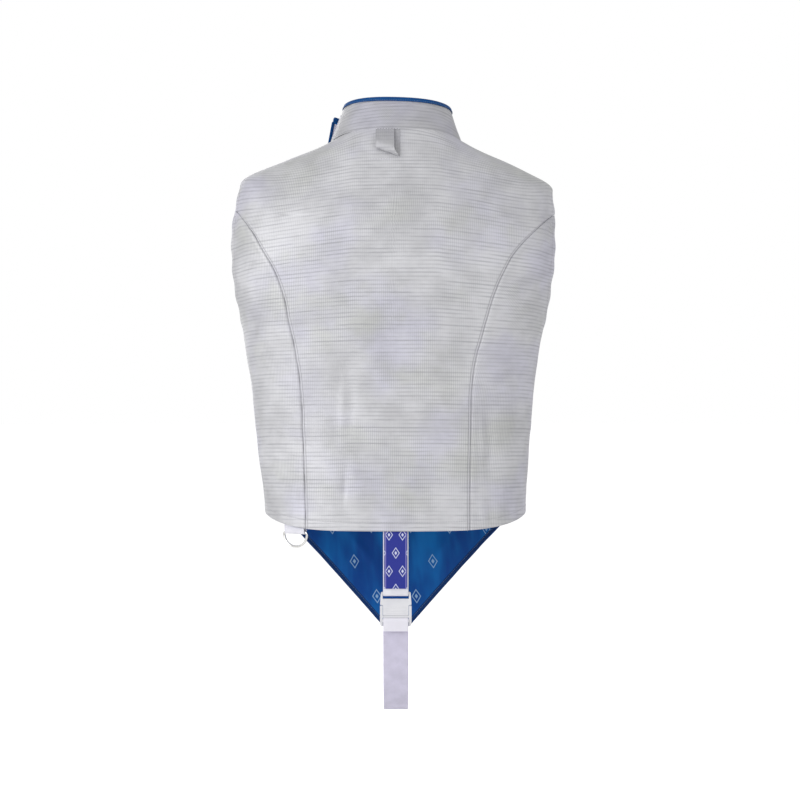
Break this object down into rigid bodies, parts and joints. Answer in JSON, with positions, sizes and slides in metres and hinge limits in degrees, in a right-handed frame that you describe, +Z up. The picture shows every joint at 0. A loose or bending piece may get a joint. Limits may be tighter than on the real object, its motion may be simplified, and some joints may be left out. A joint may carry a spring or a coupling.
{
  "type": "foil lame",
  "caption": "Sleeveless metallic fencing vest, filled out as worn, with stand collar, front zip, blue lining, crotch strap and D-ring.",
  "frame": {"origin": "midway between the neck points of the two shoulders, where the vest hangs on its wearer", "axes": "+Z up, -Y the way the wearer faces, +X the wearer's left"},
  "size_m": [0.3936, 0.2508, 0.7531],
  "materials": {
    "metallic_cloth": "silver-grey woven metallic cloth with a fine raised grid",
    "lining": "smooth blue lining",
    "binding": "blue folded edge binding",
    "hook_tape": "white hook and loop tape",
    "zip_cloth": "grey zip tape",
    "zip_metal": "satin metal",
    "webbing": "white woven webbing",
    "label": "indigo woven label",
    "buckle": "white moulded plastic",
    "ring_metal": "nickel-plated wire"
  },
  "bodies": {
    "garment": {"back_panel": "metallic_cloth", "back_side_left": "metallic_cloth", "back_side_right": "metallic_cloth", "front_panel": "metallic_cloth", "front_side_left": "metallic_cloth", "collar": "metallic_cloth", "clip_tab": "metallic_cloth", "front_lining": "lining", "collar_lining": "lining", "collar_binding": "binding", "flap_binding": "binding", "flap_hook_tape": "hook_tape", "collar_loop_tape": "hook_tape", "zip_tape": "zip_cloth", "zip_chain": "zip_metal", "zip_slider": "zip_metal", "ring_tab": "webbing", "back_strap": "webbing", "strap_label": "label", "buckle_upper": "buckle", "buckle_lower": "buckle", "crotch_strap": "webbing"},
    "ring": {"d_ring": "ring_metal"},
    "pull_tab": {"zip_pull": "zip_metal"}
  },
  "joints": [
    {"name": "ring_swing", "type": "hinge", "parent": "garment", "child": "ring", "pos_m": [0.12028, 0.08135, -0.47479], "axis": [0.8208, -0.5712, 0], "range_deg": [-70, 100]},
    {"name": "pull_swing", "type": "hinge", "parent": "garment", "child": "pull_tab", "pos_m": [0.07024, -0.07154, -0.03887], "axis": [-0.9864, -0.1523, 0.0625], "range_deg": [0, 110]}
  ]
}
